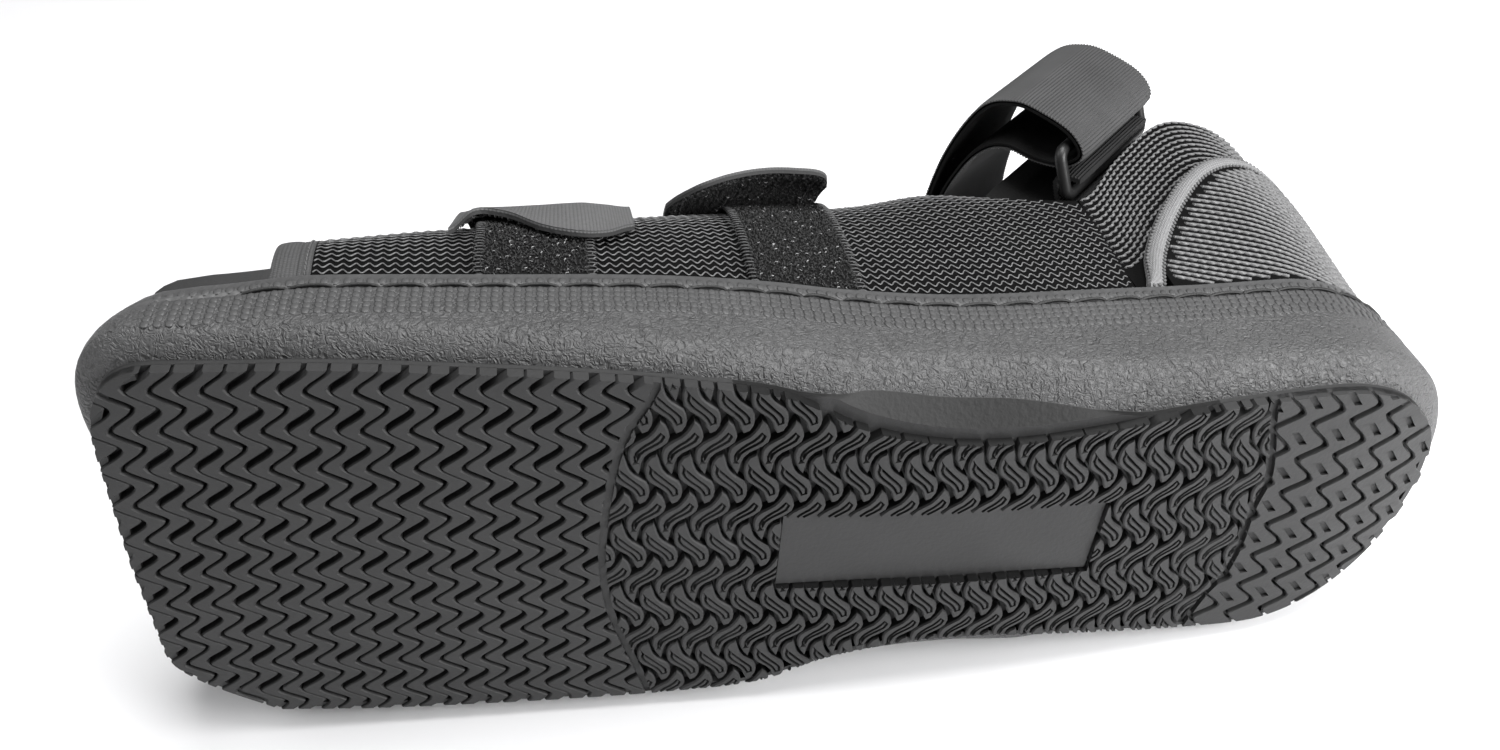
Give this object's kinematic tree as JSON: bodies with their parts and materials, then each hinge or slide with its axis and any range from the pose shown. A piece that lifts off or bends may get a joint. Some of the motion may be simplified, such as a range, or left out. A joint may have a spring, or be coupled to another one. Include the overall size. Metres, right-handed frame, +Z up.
{
  "type": "postoperative shoe",
  "caption": "Open-toed postoperative shoe lying on its side: thick rocker sole with a moulded tread, mesh upper, loop-tape straps and a padded ankle strap through a ring.",
  "frame": {"origin": "centre of the bounding box at the floor", "axes": "+X from toe to heel, +Y from the tread toward the top of the shoe, +Z up, with the shoe lying on its far side"},
  "size_m": [0.3086, 0.152, 0.1185],
  "materials": {
    "tread": "moulded rubber, satin",
    "wall": "foam with a moulded leather grain",
    "insole": "brushed cloth over foam",
    "mesh": "coarse knitted mesh",
    "binding": "woven edge tape, light",
    "tape": "woven edge tape, middle grey",
    "pile": "loop pile tape",
    "strap": "laminated cloth strap with a pile underside",
    "webbing": "ribbed woven strap",
    "plastic": "glossy moulded ring"
  },
  "bodies": {
    "root": {"outsole": "tread", "midsole": "wall", "insole": "insole", "near_panel": "mesh", "far_panel": "mesh", "near_toe_binding": "tape", "far_toe_binding": "tape", "heel_collar": "mesh", "heel_counter": "mesh", "counter_binding": "binding", "front_loop_patch": "pile", "rear_loop_patch": "pile", "front_strap": "strap", "rear_strap": "strap", "ankle_strap": "webbing", "ring_tab": "webbing", "ankle_ring": "plastic"}
  },
  "joints": []
}
